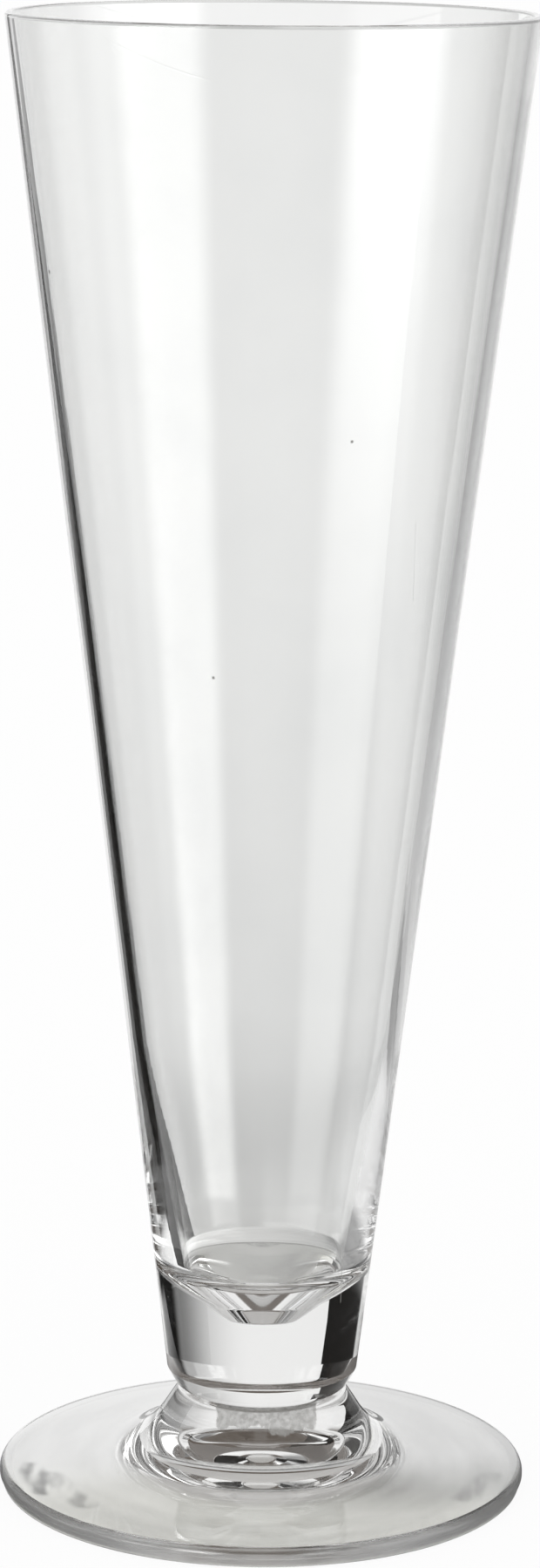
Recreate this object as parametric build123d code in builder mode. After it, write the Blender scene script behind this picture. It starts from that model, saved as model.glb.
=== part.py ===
"""Pilsner glass of clear moulded plastic: a conical bowl with a solid plug, cemented to a dished foot.

Millimetres, +Z up. The origin is the centre of the ring that the foot stands on.
"""
import os
from math import radians, tan

from build123d import *

# Bowl, outside
glass_height = 200.0
rim_radius = 35.1
plug_radius = 13.0
plug_chamfer_height = 2.9

# Bowl, inside: the wall grows thicker from the rim to the heel, and faster below it
rim_thickness = 1.2
heel_thickness = 2.1
heel_height = 57.0
heel_angle = 10.1
floor_height = 31.0
floor_round = 4.0
well_radius = 5.0
well_depth = 2.3
well_round = 3.0
dimple_radius = 2.75
dimple_depth = 0.4
plug_thickness = 10.9

# Joint between the plug and the hub, and the cement in it
joint_radius = 11.45
plug_round = 2.2
hub_round = 0.9
cement_thickness = 0.15

# Foot, outside
hub_height = 13.25
crease_radius = 16.5
crease_height = 5.6
crease_round = 12.0
foot_radius = 36.0
edge_height = 2.6
edge_round = 1.1
parting_height = 1.2
parting_step = 0.4

# Foot, underneath
ring_width = 1.6
brim_thickness = 3.1
dome_radius = 15.0
hub_thickness = 7.05


# Levels and radii that follow from the sizes above
plug_bottom = hub_height + cement_thickness
plug_corner = plug_bottom + plug_chamfer_height
rim_inside = rim_radius - rim_thickness
rim_round = 0.45 * rim_thickness
cone_slope = (rim_radius - plug_radius) / (glass_height - plug_corner)
heel_radius = plug_radius + cone_slope * (heel_height - plug_corner) - heel_thickness
floor_radius = heel_radius - (heel_height - floor_height) * tan(radians(heel_angle))
cavity_tip = plug_bottom + plug_thickness
dimple_height = cavity_tip + dimple_depth
well_height = dimple_height + well_depth
cement_radius = joint_radius - 0.64 * plug_round
ring_outside = foot_radius - parting_step
ring_inside = ring_outside - ring_width
brim_slope = (crease_height - edge_height) / (foot_radius - crease_radius)
dome_foot = crease_height + brim_slope * (crease_radius - dome_radius) - brim_thickness
dome_top = hub_height - hub_thickness

os.makedirs("parts", exist_ok=True)

# Bowl: straight cone with a rounded rim, thick heel, floor with a well inside, plug with a rounded lower edge
with BuildPart() as bowl:
    with BuildSketch(Plane.XZ) as bowl_section:
        with BuildLine():
            Polyline(
                (0, cavity_tip),
                (0, plug_bottom),
                (joint_radius, plug_bottom),
                (plug_radius, plug_corner),
                (rim_radius, glass_height),
                (rim_inside, glass_height),
                (heel_radius, heel_height),
                (floor_radius, floor_height),
                (well_radius, well_height),
                (dimple_radius, dimple_height),
            )
            TangentArc((0, cavity_tip), (dimple_radius, dimple_height), tangent=(1, 0))
        make_face()
        floor_corner = bowl_section.vertices().sort_by_distance((floor_radius, floor_height))[0]
        fillet(floor_corner, radius=floor_round)
        well_corner = bowl_section.vertices().sort_by_distance((well_radius, well_height))[0]
        fillet(well_corner, radius=well_round)
        plug_edge = bowl_section.vertices().sort_by_distance((joint_radius, plug_bottom))[0]
        fillet(plug_edge, radius=plug_round)
        rim_edges = bowl_section.vertices().group_by(Axis.Y)[-1]
        fillet(rim_edges, radius=rim_round)
    revolve(axis=Axis.Z)
bowl.part.label = "bowl"
export_step(bowl.part, "parts/bowl.step")

# Cement film: fills the flat joint between the plug and the hub, inside their rounded edges
with BuildPart() as cement_film:
    with BuildSketch(Plane.XY.offset(hub_height)):
        Circle(cement_radius)
    extrude(amount=cement_thickness)
cement_film.part.label = "cement_film"
export_step(cement_film.part, "parts/cement_film.step")

# Foot: hub that flares into a dished brim of even thickness, a two-step edge and a dome underneath
with BuildPart() as foot:
    with BuildSketch(Plane.XZ) as foot_section:
        with BuildLine():
            Polyline(
                (0, dome_top),
                (0, hub_height),
                (joint_radius, hub_height),
                (crease_radius, crease_height),
                (foot_radius, edge_height),
                (foot_radius, parting_height),
                (ring_outside, parting_height),
                (ring_outside, 0),
                (ring_inside, 0),
                (dome_radius, dome_foot),
            )
            TangentArc((0, dome_top), (dome_radius, dome_foot), tangent=(1, 0))
        make_face()
        hub_edge = foot_section.vertices().sort_by_distance((joint_radius, hub_height))[0]
        fillet(hub_edge, radius=hub_round)
        crease = foot_section.vertices().sort_by_distance((crease_radius, crease_height))[0]
        fillet(crease, radius=crease_round)
        brim_edge = foot_section.vertices().sort_by_distance((foot_radius, edge_height))[0]
        fillet(brim_edge, radius=edge_round)
    revolve(axis=Axis.Z)
foot.part.label = "foot"
export_step(foot.part, "parts/foot.step")
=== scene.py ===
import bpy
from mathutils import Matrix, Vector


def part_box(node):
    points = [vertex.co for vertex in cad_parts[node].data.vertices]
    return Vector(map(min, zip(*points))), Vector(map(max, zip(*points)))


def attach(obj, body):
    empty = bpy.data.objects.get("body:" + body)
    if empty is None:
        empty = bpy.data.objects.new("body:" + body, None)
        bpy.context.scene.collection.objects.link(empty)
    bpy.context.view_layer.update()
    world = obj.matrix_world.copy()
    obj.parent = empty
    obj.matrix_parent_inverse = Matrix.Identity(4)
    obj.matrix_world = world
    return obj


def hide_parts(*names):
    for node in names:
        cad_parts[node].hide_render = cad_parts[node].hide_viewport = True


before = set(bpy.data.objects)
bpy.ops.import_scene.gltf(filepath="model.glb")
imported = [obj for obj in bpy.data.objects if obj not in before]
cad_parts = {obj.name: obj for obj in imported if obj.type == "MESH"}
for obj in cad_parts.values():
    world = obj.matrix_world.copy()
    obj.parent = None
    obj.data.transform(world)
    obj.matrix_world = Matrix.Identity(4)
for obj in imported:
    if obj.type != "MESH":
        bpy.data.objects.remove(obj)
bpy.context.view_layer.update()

from math import acos, asin, atan2, cos, pi, radians, sin, tan

import bpy
from bpy.props import FloatProperty, FloatVectorProperty, IntProperty, PointerProperty
from mathutils import Euler, Matrix, Vector

bl_info = {
    "name": "Pilsner glass",
    "version": (1, 0, 0),
    "blender": (4, 5, 0),
    "location": "View3D > Sidebar > Pilsner",
    "description": "Clear plastic pilsner glass with a cemented foot, and a plain studio round it",
    "category": "Object",
}

BODY = "root"
bowl_low, bowl_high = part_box("bowl")
film_low, film_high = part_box("cement_film")
foot_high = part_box("foot")[1]


# Sizes and colours that a user would change

def length(name, description, default):
    """A length property, in metres."""
    return FloatProperty(name=name, description=description, default=default, min=0.0, unit="LENGTH",
                         precision=5)


def angle(name, description, degrees):
    """An angle property, given here in degrees."""
    return FloatProperty(name=name, description=description, default=radians(degrees), unit="ROTATION")


def amount(name, description, default):
    """A plain number property."""
    return FloatProperty(name=name, description=description, default=default, precision=4)


def colour(name, description, default):
    """A colour property."""
    return FloatVectorProperty(name=name, description=description, default=default, subtype="COLOR",
                               min=0.0, max=1.0)


def point(name, description, default):
    """A point in the studio, in metres."""
    return FloatVectorProperty(name=name, description=description, default=default, subtype="XYZ",
                               unit="LENGTH", precision=4)


class BowlSizes(bpy.types.PropertyGroup):
    """Sizes of the conical bowl and its solid plug."""
    top: length("Top", "Height of the rim above the table", bowl_high.z)
    bottom: length("Bottom", "Height of the plug's bonded face", bowl_low.z)
    rim_radius: length("Rim radius", "Where the outer cone would meet the rim's level", 0.0351)
    plug_radius: length("Plug radius", "Lower corner of the outer cone", 0.0130)
    chamfer_height: length("Chamfer height", "Height of the plug's chamfer", 0.0029)
    joint_radius: length("Joint radius", "Where the chamfer would meet the bonded face", 0.01145)
    joint_round: length("Joint round", "Rounding of the plug's lower edge", 0.0022)
    rim_thickness: length("Rim thickness", "Level thickness of the wall at the rim", 0.0012)
    heel_thickness: length("Heel thickness", "Level thickness of the wall at the heel", 0.0021)
    heel_height: length("Heel height", "Where the wall starts to thicken faster", 0.0570)
    heel_round: length("Heel round", "Long rounding of the inner wall there", 0.250)
    heel_angle: angle("Heel angle", "Lean of the inner wall below that", 10.1)
    floor_height: length("Floor height", "Where the inner wall turns into the floor", 0.0310)
    floor_round: length("Floor round", "Rounding between the inner wall and the floor", 0.0040)
    well_radius: length("Well radius", "Rim of the well in the middle of the floor", 0.0050)
    well_rise: length("Well rise", "Height of that rim above the cavity's tip", 0.0027)
    well_round: length("Well round", "Rounding of that rim", 0.0030)
    dimple_radius: length("Dimple radius", "Rim of the dimple at the lowest point", 0.00275)
    dimple_rise: length("Dimple rise", "Height of that rim above the cavity's tip", 0.0004)
    dimple_round: length("Dimple round", "Rounding of that rim", 0.0010)
    plug_thickness: length("Plug thickness", "Solid plastic below the dimple", 0.0109)


class FootSizes(bpy.types.PropertyGroup):
    """Sizes of the dished foot."""
    hub_top: length("Hub top", "Height of the bonded face", foot_high.z)
    radius: length("Radius", "Outside of the upper edge", foot_high.x)
    joint_radius: length("Joint radius", "Where the hub's side would meet the bonded face", 0.01145)
    joint_round: length("Joint round", "Rounding of the hub's upper edge", 0.0009)
    crease_radius: length("Crease radius", "Where the hub turns into the brim", 0.0165)
    crease_height: length("Crease height", "Height of that crease", 0.0056)
    crease_round: length("Crease round", "Rounding of that crease", 0.0120)
    edge_height: length("Edge height", "Height of the edge", 0.0026)
    edge_round: length("Edge round", "Rounding of the upper edge", 0.0011)
    parting_height: length("Parting height", "Height of the parting line", 0.0012)
    parting_step: length("Parting step", "Inset of the edge below the parting line", 0.0004)
    ring_width: length("Ring width", "Width of the ring that the foot stands on", 0.0016)
    dome_radius: length("Dome radius", "Rim of the dome underneath", 0.0150)
    dome_foot: length("Dome foot", "Height of the dome's rim", 0.00273)
    dome_top: length("Dome top", "Height of the dome's middle", 0.0062)


class PlasticLook(bpy.types.PropertyGroup):
    """Finish of the clear plastic and the cement."""
    ior: amount("Refractive index", "Refractive index of the clear plastic", 1.58)
    tint: colour("Tint", "Colour that the clear plastic passes", (0.985, 0.988, 0.982))
    clouded: colour("Clouded tint", "Colour where the plastic is a little clouded", (0.955, 0.960, 0.956))
    thick: colour("Thick tint", "Colour that the thick plug and foot pass", (0.920, 0.920, 0.912))
    speck: colour("Speck", "Colour of dirt specks in the plastic", (0.05, 0.045, 0.04))
    cement: colour("Cement", "Colour of the cement squeezed out of the joint", (0.38, 0.375, 0.36))
    shadow: colour("Shadow tint", "Light that passes to the table", (0.93, 0.93, 0.93))
    segments: IntProperty(name="Segments", description="Steps round the glass", default=256, min=48,
                          max=512)


class StageSizes(bpy.types.PropertyGroup):
    """Camera and studio."""
    camera_distance: length("Camera distance", "Level distance from the glass to the camera", 0.64608)
    camera_height: length("Camera height", "Height of the camera", 0.23082)
    camera_pitch: angle("Camera pitch", "How far the camera looks down", 11.654)
    camera_yaw: angle("Camera yaw", "How far the camera looks to the right", 0.034)
    camera_roll: angle("Camera roll", "How far the camera leans", 0.527)
    camera_lens: FloatProperty(name="Lens", description="Focal length", default=112.9, unit="CAMERA")
    card_near: point("Card's near end", "Black card beside the glass on the left", (-0.0399, 0.0015, 0.0))
    card_top: point("Card's near corner", "Upper corner of its near end", (-0.0466, 0.0219, 0.300))
    card_far: point("Card's far end", "Its other end", (-0.1001, 0.184, 0.0))
    card_fold: point("Card's fold", "How far its lower fold reaches", (0.105, 0.0, -0.150))
    grey_near: point("Grey card's left end", "Low grey card behind on the right", (0.060, 0.150, -0.010))
    grey_far: point("Grey card's right end", "Its upper right corner", (0.190, 0.150, 0.011))
    fade_start: angle("Fade start", "Bearing where the backdrop on the right starts to darken", 4.0)
    fade_end: angle("Fade end", "Bearing where it is darkest", 42.0)
    dark_start: angle("Dark start", "Bearing where the black on the right starts", 48.5)
    dark_end: angle("Dark end", "Bearing where it ends", 72.0)
    room_start: angle("Room start", "Bearing where the dark room in front starts", 100.0)
    light_start: angle("Light start", "Bearing where the soft lights in front start", 101.0)
    light_end: angle("Light end", "Bearing where they end", 145.0)
    ceiling_start: angle("Ceiling start", "Height above the horizon where the brown ceiling starts", 26.0)
    light_right: amount("Right light", "Strength of the soft light on the right", 1.9)
    light_left: amount("Left light", "Strength of the soft light on the left", 1.15)
    ceiling: colour("Ceiling", "Brown ceiling over the glass", (0.120, 0.100, 0.085))
    under: colour("Under the hub", "Table in the shade of the foot", (0.100, 0.080, 0.065))


# Outlines that are spun round the axis: steps along an arc, points that count as one and sharp edges
ROUND_STEP = radians(6.0)
ARC_STEP = 0.0005
MERGE_DISTANCE = 1e-7
SHARP_ANGLE = radians(14.0)
SEED_SIZE = 0.001

# Small roundings that every moulded edge has
RIM_ROUND_SHARE = 0.45
EDGE_BREAK = 0.0003
PARTING_BREAK, PARTING_CORNER = 0.00015, 0.00010


def rounded(corners):
    """The points of an outline given as corners (radius, height, rounding), with arcs where rounded."""
    points = []
    for i, (r, z, rounding) in enumerate(corners):
        here = Vector((r, z))
        if rounding == 0.0:
            points.append(here)
            continue
        back = (Vector(corners[i - 1][:2]) - here).normalized()
        ahead = (Vector(corners[i + 1][:2]) - here).normalized()
        half = acos(max(-1.0, min(1.0, back.dot(ahead)))) / 2
        centre = here + (back + ahead).normalized() * (rounding / sin(half))
        start = here + back * (rounding / tan(half)) - centre
        turn = pi - 2 * half
        side = 1.0 if start.y * back.x - start.x * back.y > 0 else -1.0
        steps = max(2, round(turn / ROUND_STEP), round(turn * rounding / ARC_STEP))
        first = atan2(start.y, start.x)
        for k in range(steps + 1):
            a = first + side * turn * k / steps
            points.append(centre + rounding * Vector((cos(a), sin(a))))
    return [p for i, p in enumerate(points) if i == 0 or (p - points[i - 1]).length > MERGE_DISTANCE]


def spin_piece(name, points, segments):
    """A piece made by drawing an outline from the axis to the axis and spinning it."""
    bpy.ops.object.select_all(action="DESELECT")
    bpy.ops.mesh.primitive_plane_add(size=SEED_SIZE, location=(0, 0, 0))
    piece = bpy.context.object
    piece.name = piece.data.name = name
    bpy.ops.object.mode_set(mode="EDIT")
    bpy.ops.mesh.select_all(action="SELECT")
    bpy.ops.mesh.merge(type="CENTER")
    bpy.ops.transform.translate(value=(points[0].x, 0, points[0].y))
    for before, after in zip(points, points[1:]):
        step = after - before
        bpy.ops.mesh.extrude_region_move(TRANSFORM_OT_translate={"value": (step.x, 0, step.y)})
    bpy.ops.mesh.select_all(action="SELECT")
    bpy.ops.mesh.spin(steps=segments, angle=2 * pi, center=(0, 0, 0), axis=(0, 0, 1))
    bpy.ops.mesh.select_all(action="SELECT")
    bpy.ops.mesh.remove_doubles(threshold=MERGE_DISTANCE)
    bpy.ops.mesh.normals_make_consistent(inside=False)
    bpy.ops.object.mode_set(mode="OBJECT")
    bpy.ops.object.shade_smooth_by_angle(angle=SHARP_ANGLE)
    return piece


def bowl_outline(size):
    """Points of the bowl's section, from the cavity's tip round the rim to the bonded face."""
    corner_z = size.bottom + size.chamfer_height
    slope = (size.rim_radius - size.plug_radius) / (size.top - corner_z)
    heel_radius = size.plug_radius + slope * (size.heel_height - corner_z) - size.heel_thickness
    floor_radius = heel_radius - (size.heel_height - size.floor_height) * tan(size.heel_angle)
    tip = size.bottom + size.plug_thickness
    rim_round = RIM_ROUND_SHARE * size.rim_thickness
    return rounded([
        (0.0, tip, 0.0),
        (size.dimple_radius, tip + size.dimple_rise, size.dimple_round),
        (size.well_radius, tip + size.well_rise, size.well_round),
        (floor_radius, size.floor_height, size.floor_round),
        (heel_radius, size.heel_height, size.heel_round),
        (size.rim_radius - size.rim_thickness, size.top, rim_round),
        (size.rim_radius, size.top, rim_round),
        (size.plug_radius, corner_z, EDGE_BREAK),
        (size.joint_radius, size.bottom, size.joint_round),
        (film_high.x, size.bottom, 0.0),
        (0.0, size.bottom, 0.0),
    ])


def foot_outline(size):
    """Points of the foot's section, from the bonded face round the edge to the top of the dome."""
    low = size.radius - size.parting_step
    dome_rise = size.dome_top - size.dome_foot
    dome_round = (size.dome_radius**2 + dome_rise**2) / (2 * dome_rise)
    dome_bend = dome_round * tan(asin(size.dome_radius / dome_round) / 2)
    return rounded([
        (0.0, size.hub_top, 0.0),
        (film_high.x, size.hub_top, 0.0),
        (size.joint_radius, size.hub_top, size.joint_round),
        (size.crease_radius, size.crease_height, size.crease_round),
        (size.radius, size.edge_height, size.edge_round),
        (size.radius, size.parting_height, PARTING_BREAK),
        (low, size.parting_height, PARTING_CORNER),
        (low, 0.0, EDGE_BREAK),
        (low - size.ring_width, 0.0, EDGE_BREAK),
        (size.dome_radius, size.dome_foot, 0.0),
        (dome_bend, size.dome_top, dome_round),
        (0.0, size.dome_top, 0.0),
    ])


# Shader maths, and the share of a thin line that is at full strength
LINE_CORE = 0.3


class Sock:
    """A value in a node sheet that takes part in Python sums."""

    def __init__(self, sheet, socket):
        self.sheet = sheet
        self.socket = socket

    def __add__(self, other):
        return self.sheet.maths("ADD", self, other)

    def __radd__(self, other):
        return self.sheet.maths("ADD", other, self)

    def __sub__(self, other):
        return self.sheet.maths("SUBTRACT", self, other)

    def __rsub__(self, other):
        return self.sheet.maths("SUBTRACT", other, self)

    def __mul__(self, other):
        return self.sheet.maths("MULTIPLY", self, other)

    def __rmul__(self, other):
        return self.sheet.maths("MULTIPLY", other, self)

    def at_most(self, other):
        return self.sheet.maths("MINIMUM", self, other)

    def at_least(self, other):
        return self.sheet.maths("MAXIMUM", self, other)

    def ramp(self, zero, one):
        """Runs smoothly from 0 where this is at zero to 1 where it is at one."""
        return self.sheet.node("ShaderNodeMapRange", {"interpolation_type": "SMOOTHSTEP"},
                               {"Value": self, "From Min": zero, "From Max": one})

    def step(self, middle, half):
        """A ramp up that is as wide on both sides of its middle."""
        return self.ramp(middle - half, middle + half)

    def span(self, zero, one):
        """A ramp between two angles in degrees."""
        return self.ramp(radians(zero), radians(one))

    def change(self, most, zero, one):
        """A ramp that ends at most."""
        return most * self.ramp(zero, one)


class Sheet:
    """A node tree that is filled by one method."""

    def __init__(self, owner):
        owner.use_nodes = True
        self.tree = owner.node_tree
        self.tree.nodes.clear()

    def node(self, kind, settings=None, inputs=None, outlet=0):
        made = self.tree.nodes.new(kind)
        for key, value in (settings or {}).items():
            setattr(made, key, value)
        for key, value in (inputs or {}).items():
            if isinstance(value, Sock):
                self.tree.links.new(value.socket, made.inputs[key])
            else:
                made.inputs[key].default_value = value
        return Sock(self, made.outputs[outlet]) if made.outputs else made

    def maths(self, operation, *values):
        return self.node("ShaderNodeMath", {"operation": operation}, dict(enumerate(values)))

    def vector(self, operation, first, second, outlet=0):
        return self.node("ShaderNodeVectorMath", {"operation": operation}, {0: first, 1: second}, outlet)

    def light_path(self, outlet):
        """A fact about the ray that meets the surface."""
        return self.node("ShaderNodeLightPath", outlet=outlet)

    def place(self):
        """The point of the piece that is shaded."""
        return self.node("ShaderNodeTexCoord", outlet="Object")

    def along(self, place):
        """The three coordinates of a point."""
        return [self.node("ShaderNodeSeparateXYZ", inputs={0: place}, outlet=o) for o in range(3)]

    def reach(self, x, y):
        """The distance from the glass's axis."""
        return self.maths("SQRT", x * x + y * y)

    def noise(self, place, scale, stretch=(1, 1, 1), detail=2.0):
        """Soft noise, finer along the axes that are stretched more."""
        placed = self.vector("MULTIPLY", place, stretch)
        return self.node("ShaderNodeTexNoise", inputs={"Vector": placed, "Scale": scale, "Detail": detail})

    def mix(self, share, first, second):
        """A blend of two colours."""
        return self.node("ShaderNodeMix", {"data_type": "RGBA"}, {0: share, 6: first, 7: second}, outlet=2)

    def blend(self, share, first, second):
        """A blend of two shaders."""
        return self.node("ShaderNodeMixShader", inputs={0: share, 1: first, 2: second})

    def clear(self, tint):
        """A surface that lets light straight through."""
        return self.node("ShaderNodeBsdfTransparent", inputs={"Color": tint})

    def show(self, surface):
        """Makes a shader the surface of the material."""
        self.node("ShaderNodeOutputMaterial", inputs={"Surface": surface})

    def near(self, place, start, end, width):
        """A mask of a thin line from start to end, or of a spot where they are the same."""
        start, end = Vector(start), Vector(end)
        run = end - start
        nearest = start
        if run.length > 0:
            offset = self.vector("SUBTRACT", place, start)
            share = self.vector("DOT_PRODUCT", offset, run / run.length_squared, "Value")
            share = share.at_most(1.0).at_least(0.0)
            reach = self.node("ShaderNodeVectorMath", {"operation": "SCALE"}, {0: run, 3: share})
            nearest = self.vector("ADD", reach, start)
        return self.vector("DISTANCE", place, nearest, "Value").ramp(width, width * LINE_CORE)


# Marks on the bowl: dirt specks as points with a width, and scratches as lines from one point to another
SPECKS = (
    ((-0.02863, -0.01217, 0.1672), 0.00045),
    ((0.01035, -0.02681, 0.1475), 0.00032),
    ((-0.00703, -0.02400, 0.1164), 0.00030),
)
SCRATCHES = (
    ((0.01070, -0.01075, 0.0344), (0.01055, -0.00984, 0.0282), 0.00010),
    ((0.01877, -0.01993, 0.1362), (0.01864, -0.01830, 0.1257), 0.00007),
)
SCRATCH_SHARE = 0.6

# Finish of the plastic: clouding, ripples and smears, and the heights between which it counts as thick
CLOUD_SCALE, CLOUD_RANGE = 45.0, (0.45, 0.75)
RIPPLE_SCALE, RIPPLE_STRETCH = 120.0, (1.0, 1.0, 0.15)
RIPPLE_STRENGTH, RIPPLE_DEPTH = 0.015, 0.0005
SMEAR_SCALE, SMEAR_STRETCH, SMEAR_RANGE = 60.0, (1.0, 1.0, 0.3), (0.55, 0.80)
SMEAR_ROUGHNESS, EDGE_ROUGHNESS, CEMENT_ROUGHNESS = 0.03, 0.30, 0.4
EDGE_WIDTH = 0.0004
THICK_RANGE = (0.036, 0.030)

# Cement that was squeezed out of the joint and smeared down the front of the hub
SQUEEZE_LEFT, SQUEEZE_RIGHT, SQUEEZE_SIDE_SOFT = -0.0061, 0.0073, 0.0003
SQUEEZE_LOW, SQUEEZE_LOW_SOFT = 0.0110, 0.0002
SQUEEZE_FRONT = (-0.006, -0.008)
SQUEEZE_SHARE = 0.85
RAGGED_SCALE, RAGGED_STRETCH, RAGGED_DOWN, RAGGED_ASIDE = 420.0, (1.0, 1.0, 0.4), 0.0035, 0.002
GRAIN_SCALE, GRAIN_RANGE, GRAIN_SHARE = 1500.0, (0.2, 0.7), 0.4

# Rays that stay in the wall for this many bounces are let out, into light of these levels left and right
TRAPPED_AFTER = 28.0
TRAPPED_LEFT, TRAPPED_RIGHT = 0.85, 0.40


def trapped(sheet):
    """Whether a ray has been in the wall for so long that it is let out."""
    return sheet.light_path("Ray Depth").step(TRAPPED_AFTER, 0.5)


def scratch_mask(sheet, place):
    """The fine scratches on the bowl."""
    mask = sheet.near(place, *SCRATCHES[0])
    for scratch in SCRATCHES[1:]:
        mask = mask.at_least(sheet.near(place, *scratch))
    return mask * SCRATCH_SHARE


def cement_mask(sheet, place):
    """The ragged patch of cement below the joint."""
    x, y, z = sheet.along(place)
    ragged = sheet.noise(place, RAGGED_SCALE, RAGGED_STRETCH, 4.0) - 0.5
    down = (z + ragged * RAGGED_DOWN).step(SQUEEZE_LOW, SQUEEZE_LOW_SOFT)
    side = x + ragged * RAGGED_ASIDE
    across = side.step(SQUEEZE_LEFT, SQUEEZE_SIDE_SOFT)
    across = across * side.ramp(SQUEEZE_RIGHT + SQUEEZE_SIDE_SOFT, SQUEEZE_RIGHT)
    grain = sheet.noise(place, GRAIN_SCALE, detail=3.0).ramp(*GRAIN_RANGE)
    grain = grain * GRAIN_SHARE + (1.0 - GRAIN_SHARE)
    return down * across * y.ramp(*SQUEEZE_FRONT) * grain * SQUEEZE_SHARE


def clear_plastic(name, look, specks=(), dull_mask=None, edge_radius=0.0):
    """Polished clear plastic with faint ripples and marks, which lets light through to the table."""
    material = bpy.data.materials.new(name)
    sheet = Sheet(material)
    place = sheet.place()
    x, y, z = sheet.along(place)
    cloud = sheet.noise(place, CLOUD_SCALE).ramp(*CLOUD_RANGE)
    tint = sheet.mix(cloud, (*look.tint, 1.0), (*look.clouded, 1.0))
    tint = sheet.mix(z.ramp(*THICK_RANGE), tint, (*look.thick, 1.0))
    for spot, width in specks:
        tint = sheet.mix(sheet.near(place, spot, spot, width), tint, (*look.speck, 1.0))
    rough = sheet.noise(place, SMEAR_SCALE, SMEAR_STRETCH, 4.0).ramp(*SMEAR_RANGE) * SMEAR_ROUGHNESS
    if edge_radius:
        matt = sheet.reach(x, y).ramp(edge_radius - 2 * EDGE_WIDTH, edge_radius - EDGE_WIDTH)
        rough = rough + matt * EDGE_ROUGHNESS
    body = sheet.node("ShaderNodeBsdfPrincipled", inputs={
        "Base Color": tint,
        "Roughness": rough,
        "IOR": look.ior,
        "Transmission Weight": 1.0,
        "Normal": sheet.node("ShaderNodeBump", inputs={
            "Strength": RIPPLE_STRENGTH,
            "Distance": RIPPLE_DEPTH,
            "Height": sheet.noise(place, RIPPLE_SCALE, RIPPLE_STRETCH),
        }),
    })
    if dull_mask:
        cement = sheet.node("ShaderNodeBsdfPrincipled", inputs={
            "Base Color": (*look.cement, 1.0),
            "Roughness": CEMENT_ROUGHNESS,
        })
        body = sheet.blend(dull_mask(sheet, place), body, cement)
    passing = sheet.light_path("Is Shadow Ray").at_least(trapped(sheet))
    sheet.show(sheet.blend(passing, body, sheet.clear((*look.shadow, 1.0))))
    return material


def bonded_face(name):
    """A face in optical contact with the next piece, which light passes unbent."""
    material = bpy.data.materials.new(name)
    sheet = Sheet(material)
    sheet.show(sheet.node("ShaderNodeBsdfPrincipled", inputs={"Alpha": 0.0}))
    return material


TOUCHING = 1e-6


def mark_bonded(piece, *heights):
    """Gives the level faces over the cement their own material."""
    reach = film_high.x + TOUCHING
    for face in piece.data.polygons:
        corners = [piece.data.vertices[v].co for v in face.vertices]
        inside = all(corner.xy.length < reach for corner in corners)
        level = any(all(abs(corner.z - height) < TOUCHING for corner in corners) for height in heights)
        face.material_index = 1 if inside and level else 0


def finish_piece(piece, node):
    """Puts a finished piece on the body in place of its CAD node."""
    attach(piece, BODY)
    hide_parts(node)


# Operators of the pieces

class PILSNER_OT_bowl(bpy.types.Operator):
    """Models the conical bowl with its cavity and solid plug."""
    bl_idname = "pilsner.bowl"
    bl_label = "Bowl"

    def execute(self, context):
        size, look = context.scene.pilsner_bowl, context.scene.pilsner_look
        piece = spin_piece("clear_bowl", bowl_outline(size), look.segments)
        piece.data.materials.append(clear_plastic("bowl_plastic", look, SPECKS, scratch_mask))
        piece.data.materials.append(bonded_face("bowl_bond"))
        mark_bonded(piece, size.bottom)
        finish_piece(piece, "bowl")
        return {"FINISHED"}


class PILSNER_OT_foot(bpy.types.Operator):
    """Models the dished foot with its hub, parting line and dome."""
    bl_idname = "pilsner.foot"
    bl_label = "Foot"

    def execute(self, context):
        size, look = context.scene.pilsner_foot, context.scene.pilsner_look
        piece = spin_piece("clear_foot", foot_outline(size), look.segments)
        plastic = clear_plastic("foot_plastic", look, dull_mask=cement_mask, edge_radius=size.radius)
        piece.data.materials.append(plastic)
        piece.data.materials.append(bonded_face("foot_bond"))
        mark_bonded(piece, size.hub_top)
        finish_piece(piece, "foot")
        return {"FINISHED"}


class PILSNER_OT_cement(bpy.types.Operator):
    """Models the cement film in the joint."""
    bl_idname = "pilsner.cement"
    bl_label = "Cement film"

    def execute(self, context):
        look = context.scene.pilsner_look
        radius, low, high = film_high.x, film_low.z, film_high.z
        piece = spin_piece("cement_layer", rounded([
            (0.0, high, 0.0), (radius, high, 0.0), (radius, low, 0.0), (0.0, low, 0.0),
        ]), look.segments)
        piece.data.materials.append(clear_plastic("cement_clear", look))
        piece.data.materials.append(bonded_face("cement_bond"))
        mark_bonded(piece, low, high)
        finish_piece(piece, "cement_film")
        return {"FINISHED"}


# Studio that the glass shows: how far each part of it darkens or lights the backdrop
WHITE = (1.0, 1.0, 1.0, 1.0)
BLACK_SHARE, FADE_SHARE, SIDE_SHARE, ROOM_SHARE = 0.985, 0.50, 0.40, 0.95
FLOOR_SHARE, FLOOR_RIGHT_SHARE = 0.34, 0.5
LOW_RIGHT, LOW_LEFT = 2.8, 0.5
MIDDLE_ONCE, MIDDLE_AGAIN, OVERHEAD_SHARE = 0.50, 0.40, 0.85

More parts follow.
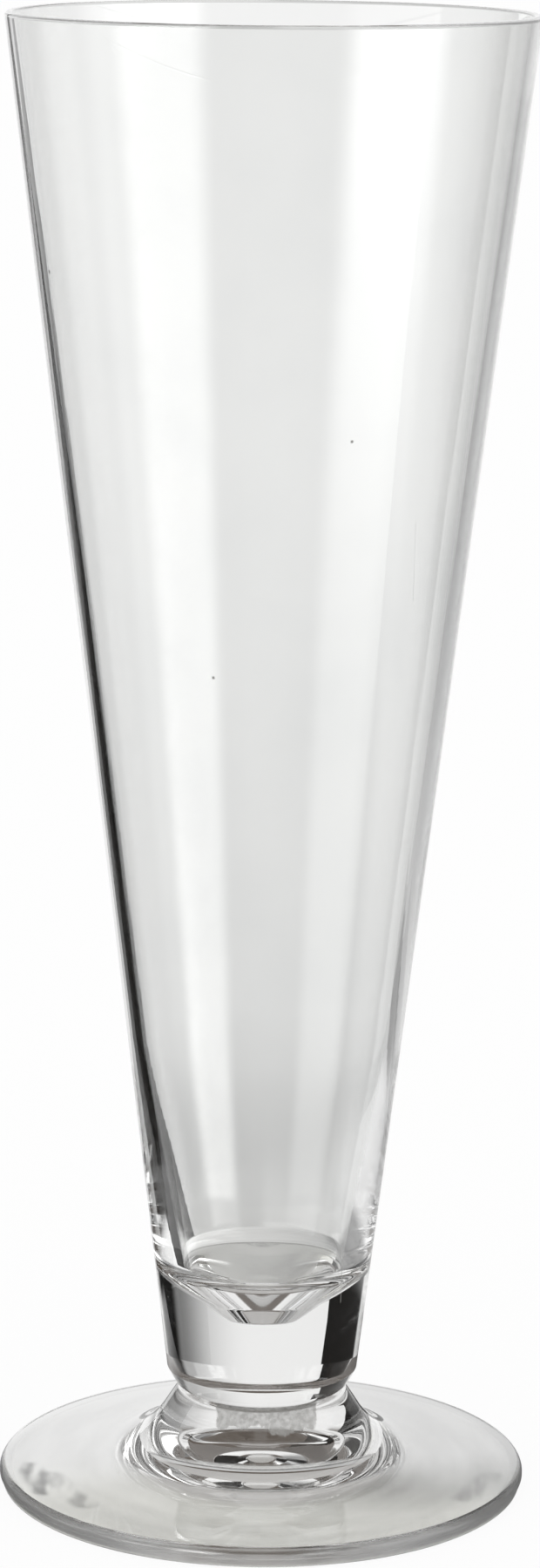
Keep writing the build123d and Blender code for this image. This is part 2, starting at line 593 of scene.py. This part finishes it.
# Its soft edges, and the angles in degrees between which its parts begin or end
SOFT, WIDE, SLOW = radians(3.5), radians(7.0), radians(21.0)
MIRRORED_FADE, MIRRORED_FADE_MORE = (12, 34), 1.3
FADE_LOW, DARK_LOW = (-13, -22), (-13, -19)
SIDE_START, SIDE_END = (30, 45), (55, 75)
FLOOR_START, FLOOR_RIGHT = (-9, -21), (-18, -24)
LIGHT_LOWER = (2, -5)
LEFT_LIGHT_LOW, LEFT_LIGHT_TOP, RIGHT_LIGHT_LOW = (-14, -6), (5, 11), (-24, -9)
CEILING_SIDES, CEILING_MIDDLE, CEILING_GAP, CEILING_TOP = (22, 26), (27, 34), (48, 56), (68, 76)
OVERHEAD = (25, 33)


class Rays:
    """How a ray came: out of the glass, mirrored by it last, mirrored at all, or more than once."""

    def __init__(self, sheet):
        bounces = sheet.light_path("Glossy Depth")
        self.through = sheet.light_path("Is Transmission Ray")
        self.mirrored = sheet.light_path("Is Glossy Ray") * (1.0 - self.through)
        self.in_glass = self.through.at_least(self.mirrored)
        self.bounced = bounces.at_most(1.0)
        self.again = (bounces - 1.0).at_least(0.0).at_most(1.0)


class Sky:
    """Where a ray goes: how far aside from straight behind the glass, how far up, and to which side."""

    def __init__(self, sheet):
        x, y, z = sheet.along(sheet.node("ShaderNodeTexCoord", outlet="Generated"))
        self.aside = sheet.maths("ABSOLUTE", sheet.maths("ARCTAN2", x, y))
        self.rise = sheet.maths("ARCSINE", z)
        self.right = x.step(0.0, 0.01)
        self.left = 1.0 - self.right


def backdrop_level(sky, rays, size):
    """The brightness behind the glass: white, darker low down and to the right, with a black edge there."""
    plain = 1.0 - rays.bounced
    end = sky.aside.step(size.dark_end, SOFT)
    slow_end = sky.aside.ramp(size.dark_end + SOFT, size.dark_end + SOFT + SLOW)
    fade = sky.aside.ramp(size.fade_start, size.fade_end) * plain
    fade = fade + sky.aside.span(*MIRRORED_FADE) * MIRRORED_FADE_MORE * rays.bounced
    fade = fade * sky.right * (1.0 - end) * (1.0 - sky.rise.span(*FADE_LOW))
    dark = sky.aside.step(size.dark_start, SOFT) - end * plain - slow_end * rays.bounced
    dark = dark * sky.right * (1.0 - sky.rise.span(*DARK_LOW))
    dim = sky.left * (sky.aside.span(*SIDE_START) - sky.aside.span(*SIDE_END)) * rays.bounced
    floor_right = FLOOR_RIGHT_SHARE * sky.right * sky.rise.span(*FLOOR_RIGHT)
    floor = sky.rise.span(*FLOOR_START) * (1.0 - floor_right)
    level = (1.0 - FLOOR_SHARE * floor) * (1.0 - fade * FADE_SHARE)
    return level * (1.0 - dark * BLACK_SHARE) * (1.0 - dim * SIDE_SHARE)


def front_light(sky, rays, size):
    """The soft lights in front of the glass, one on each side, which are stronger low down."""
    across = sky.aside.step(size.light_start, WIDE) - sky.aside.step(size.light_end, WIDE)
    lower = sky.rise.span(*LIGHT_LOWER)
    left = sky.left * sky.rise.span(*LEFT_LIGHT_LOW) * (1.0 - sky.rise.span(*LEFT_LIGHT_TOP))
    right = sky.right * sky.rise.span(*RIGHT_LIGHT_LOW)
    left = left * (size.light_left + lower * LOW_LEFT)
    right = right * (size.light_right + lower * LOW_RIGHT)
    return across * (left + right) * rays.bounced


def ceiling_share(sky, rays, size):
    """Where the brown ceiling shows: at the sides, fainter in the middle, at the top and in reflections."""
    sides = sky.rise.step(size.ceiling_start, SOFT) * sky.aside.span(*CEILING_SIDES)
    more = rays.again * MIDDLE_AGAIN * (1.0 - sky.rise.span(*CEILING_GAP))
    middle = sky.rise.span(*CEILING_MIDDLE) * (MIDDLE_ONCE + more)
    seen = sides.at_least(middle).at_least(sky.rise.span(*CEILING_TOP)) * rays.through * rays.bounced
    return seen.at_least(rays.mirrored * sky.rise.span(*OVERHEAD) * OVERHEAD_SHARE)


def make_world(scene, size):
    """A white world that shows the glass a backdrop, a dark room with soft lights, and a ceiling."""
    scene.world = bpy.data.worlds.new("studio")
    sheet = Sheet(scene.world)
    rays, sky, deep = Rays(sheet), Sky(sheet), trapped(sheet)
    room = sky.aside.step(size.room_start, WIDE) * rays.bounced
    level = backdrop_level(sky, rays, size) * (1.0 - room * ROOM_SHARE) + front_light(sky, rays, size)
    level = level * (1.0 - deep) + (sky.left * TRAPPED_LEFT + sky.right * TRAPPED_RIGHT) * deep
    ceiling = ceiling_share(sky, rays, size)
    level = level * (1.0 - ceiling) + ceiling
    glow = sheet.node("ShaderNodeBackground", inputs={
        "Color": sheet.mix(ceiling, WHITE, (*size.ceiling, 1.0)),
        "Strength": 1.0 - rays.in_glass + rays.in_glass * level,
    })
    sheet.node("ShaderNodeOutputWorld", inputs={"Surface": glow})


# Cards that only the glass shows
CARD_BLACK = (0.012, 0.011, 0.010, 1.0)
BLACK_IN_VIEW = (0.034, 0.040)
GREY_SHARE, GREY_SOFT, GREY_FULL = 0.55, 0.02, 0.130


def make_card(name, corners, share):
    """A dark card that only the glass shows; share gives its darkness from the place and the rays."""
    bpy.ops.object.select_all(action="DESELECT")
    bpy.ops.mesh.primitive_plane_add(size=1.0, location=(0, 0, 0))
    card = bpy.context.object
    card.name = name
    for vertex, corner in zip(card.data.vertices, corners):
        vertex.co = corner
    card.visible_camera = card.visible_shadow = card.visible_diffuse = False
    material = bpy.data.materials.new(name)
    sheet = Sheet(material)
    x, y, z = sheet.along(sheet.place())
    cover = share(x, y, Rays(sheet)) * (1.0 - trapped(sheet))
    black = sheet.node("ShaderNodeBsdfDiffuse", inputs={"Color": CARD_BLACK})
    sheet.show(sheet.blend(cover, sheet.clear(WHITE), black))
    card.data.materials.append(material)


def make_cards(size):
    """A black card on the left, whose near end shows only in mirrored rays, and a low grey one."""
    near, top = Vector(size.card_near), Vector(size.card_top)
    far, fold = Vector(size.card_far), Vector(size.card_fold)
    left, right = Vector(size.grey_near), Vector(size.grey_far)

    def black(x, y, rays):
        return rays.bounced.at_least(y.ramp(*BLACK_IN_VIEW))

    def grey(x, y, rays):
        return x.change(GREY_SHARE, left.x - GREY_SOFT, GREY_FULL)

    make_card("black_card", (near, far, top, (far.x, far.y, top.z)), black)
    make_card("black_fold", (near + fold, far + fold, near, far), black)
    make_card("grey_card", (left, (right.x, right.y, left.z), (left.x, left.y, right.z), right), grey)


# Table: its own tone, what a reflection in the glass shows of it, which is painted shade except behind on
# the left, and how far out the glass shows it
TABLE_SIZE = 12.0
TABLE_GLOW = 0.9
TABLE_TONE = (0.90, 0.90, 0.90, 1.0)
MIRROR_LIGHT, MIRROR_PAINTED_SHADE = (0.80, 0.80, 0.80, 1.0), (0.06, 0.06, 0.06, 1.0)
MIRROR_LEFT, MIRROR_BEHIND = (-0.015, -0.035), (0.005, 0.035)
TABLE_END = (0.068, 0.078)

# Table under the hub, painted grey shade under the dome and painted brown shade behind the middle
DOME_PAINTED_SHADE = (0.55, 0.54, 0.53, 1.0)
HUB_END, BROWN_START, BROWN_END = (0.0135, 0.0175), (0.0055, 0.0085), (0.0135, 0.0160)

# Table under the brim, painted light and shade: tones on both sides, and changes as how much, from where,
# to where
ACROSS = (-0.015, 0.015)
LEFT_TONE, LEFT_FRONT = 0.74, (-0.12, -0.006, -0.030)
RIGHT_TONE, RIGHT_MIDDLE, RIGHT_FRONT = 0.57, (-0.20, 0.006, -0.008), (0.28, -0.008, -0.020)
EDGE_START, EDGE_TONE, EDGE_FRONT = (0.033, 0.040), 0.10, (-0.16, 0.0, -0.030)
EDGE_LEFT, EDGE_RIGHT = (0.30, -0.010, -0.030), (-0.35, 0.012, 0.032)
WARM_FRONT = (0.05, 0.005, -0.015)

# Painted light and shade in soft arcs round the brim, and painted shade in dark streaks in it, as lines
# from one point to another with a share
ARCS_OUTWARD, ARCS_ROUND, ARCS_START = 260.0, 1.6, (0.30, 0.016, 0.022)
STREAK_SCALE, STREAK_STRETCH, STREAK_RANGE, STREAK_WIDTH = 260.0, (1.8, 0.5, 1.0), (0.30, 0.62), 0.0026
STREAKS = (
    ((-0.0315, -0.0030, 0.0), (-0.0290, -0.0120, 0.0), 0.85),
    ((-0.0285, -0.0060, 0.0), (-0.0235, -0.0165, 0.0), 0.50),
    ((0.0310, -0.0050, 0.0), (0.0275, -0.0130, 0.0), 0.45),
)


def painted_brim_shading(sheet, spot, x, y, reach):
    """The painted light and shade of the table under the brim, with the painted arcs and streaks that show
    there.
    """
    across = x.ramp(*ACROSS)
    left = LEFT_TONE + y.change(*LEFT_FRONT)
    right = RIGHT_TONE + y.change(*RIGHT_MIDDLE) + y.change(*RIGHT_FRONT)
    edge = EDGE_TONE + y.change(*EDGE_FRONT) + x.change(*EDGE_LEFT) + x.change(*EDGE_RIGHT)
    tone = left * (1.0 - across) + right * across + reach.ramp(*EDGE_START) * edge
    polar = sheet.node("ShaderNodeCombineXYZ", inputs={
        0: reach * ARCS_OUTWARD,
        1: sheet.maths("ARCTAN2", x, y) * ARCS_ROUND,
    })
    tone = tone + (sheet.noise(polar, 1.0, detail=3.0) - 0.5) * reach.change(*ARCS_START)
    streaky = sheet.noise(spot, STREAK_SCALE, STREAK_STRETCH, 1.0).ramp(*STREAK_RANGE)
    for start, end, share in STREAKS:
        tone = tone * (1.0 - sheet.near(spot, start, end, STREAK_WIDTH) * share * streaky)
    return tone


def make_table(size):
    """A pale table that shows white and keeps the shadow, and that the glass shows only near the foot,
    glowing there with painted light and shade.
    """
    bpy.ops.object.select_all(action="DESELECT")
    bpy.ops.mesh.primitive_plane_add(size=TABLE_SIZE, location=(0, 0, 0))
    table = bpy.context.object
    table.name = "table"
    material = bpy.data.materials.new("table")
    sheet = Sheet(material)
    rays = Rays(sheet)
    spot = sheet.place()
    x, y, z = sheet.along(spot)
    reach = sheet.reach(x, y)
    coat = sheet.node("ShaderNodeBsdfDiffuse", inputs={"Color": TABLE_TONE})
    glow = sheet.node("ShaderNodeEmission", inputs={"Color": WHITE, "Strength": 1.0})
    plain = sheet.blend(sheet.light_path("Is Camera Ray") * TABLE_GLOW, coat, glow)
    # Painted light and shade under the brim, with a warmer front
    tone = painted_brim_shading(sheet, spot, x, y, reach)
    warm = 1.0 - y.change(*WARM_FRONT)
    brim = sheet.node("ShaderNodeCombineColor", inputs={0: tone, 1: tone, 2: tone * warm})
    # Painted brown shade behind the middle of the hub, over painted grey shade under the dome
    brown = y.ramp(*BROWN_START) * (1.0 - reach.ramp(*BROWN_END))
    hub = sheet.mix(brown, DOME_PAINTED_SHADE, (*size.under, 1.0))
    under = sheet.mix(reach.ramp(*HUB_END), hub, brim)
    # Painted shade in the glass's reflections of the table, lighter only behind on the left
    mirror = sheet.mix(x.ramp(*MIRROR_LEFT) * y.ramp(*MIRROR_BEHIND), MIRROR_PAINTED_SHADE, MIRROR_LIGHT)
    # The table glows with these painted tones for rays from the glass
    painted_for_glass = sheet.node("ShaderNodeEmission", inputs={
        "Color": sheet.mix(rays.mirrored, under, mirror),
        "Strength": 1.0,
    })
    in_glass = sheet.blend(reach.ramp(*TABLE_END), painted_for_glass, sheet.clear(WHITE))
    sheet.show(sheet.blend(rays.in_glass, plain, in_glass))
    table.data.materials.append(material)


def make_camera(scene, size):
    """The camera at the photograph's viewing angle."""
    data = bpy.data.cameras.new("camera")
    data.lens = size.camera_lens
    camera = bpy.data.objects.new("camera", data)
    scene.collection.objects.link(camera)
    place = Matrix.Translation((0, -size.camera_distance, size.camera_height))
    turn = Euler((pi / 2 - size.camera_pitch, 0, -size.camera_yaw)).to_matrix().to_4x4()
    camera.matrix_world = place @ turn @ Matrix.Rotation(size.camera_roll, 4, "Z")
    scene.camera = camera


# Bounces that light may take in the glass
GLASS_BOUNCES, MIRROR_BOUNCES = 40, 32


class PILSNER_OT_stage(bpy.types.Operator):
    """Makes the table, the studio light and the camera."""
    bl_idname = "pilsner.stage"
    bl_label = "Stage"

    def execute(self, context):
        scene, size = context.scene, context.scene.pilsner_stage
        scene.view_settings.view_transform = "Standard"
        scene.cycles.max_bounces = scene.cycles.transmission_bounces = GLASS_BOUNCES
        scene.cycles.glossy_bounces = scene.cycles.transparent_max_bounces = MIRROR_BOUNCES
        make_world(scene, size)
        make_table(size)
        make_cards(size)
        make_camera(scene, size)
        return {"FINISHED"}


class PILSNER_PT_panel(bpy.types.Panel):
    """Lists the steps that make the glass."""
    bl_label = "Pilsner glass"
    bl_idname = "PILSNER_PT_panel"
    bl_space_type = "VIEW_3D"
    bl_region_type = "UI"
    bl_category = "Pilsner"

    def draw(self, context):
        for step in STEPS:
            self.layout.operator(step.bl_idname)


STEPS = (PILSNER_OT_bowl, PILSNER_OT_foot, PILSNER_OT_cement, PILSNER_OT_stage)
GROUPS = {
    "pilsner_bowl": BowlSizes,
    "pilsner_foot": FootSizes,
    "pilsner_look": PlasticLook,
    "pilsner_stage": StageSizes,
}


def register():
    for kind in (*GROUPS.values(), *STEPS, PILSNER_PT_panel):
        bpy.utils.register_class(kind)
    for name, kind in GROUPS.items():
        setattr(bpy.types.Scene, name, PointerProperty(type=kind))


def unregister():
    for name in GROUPS:
        delattr(bpy.types.Scene, name)
    for kind in (PILSNER_PT_panel, *reversed(STEPS), *reversed(GROUPS.values())):
        bpy.utils.unregister_class(kind)


def main():
    register()
    bpy.ops.pilsner.bowl()
    bpy.ops.pilsner.foot()
    bpy.ops.pilsner.cement()
    bpy.ops.pilsner.stage()


if __name__ == "__main__":
    main()
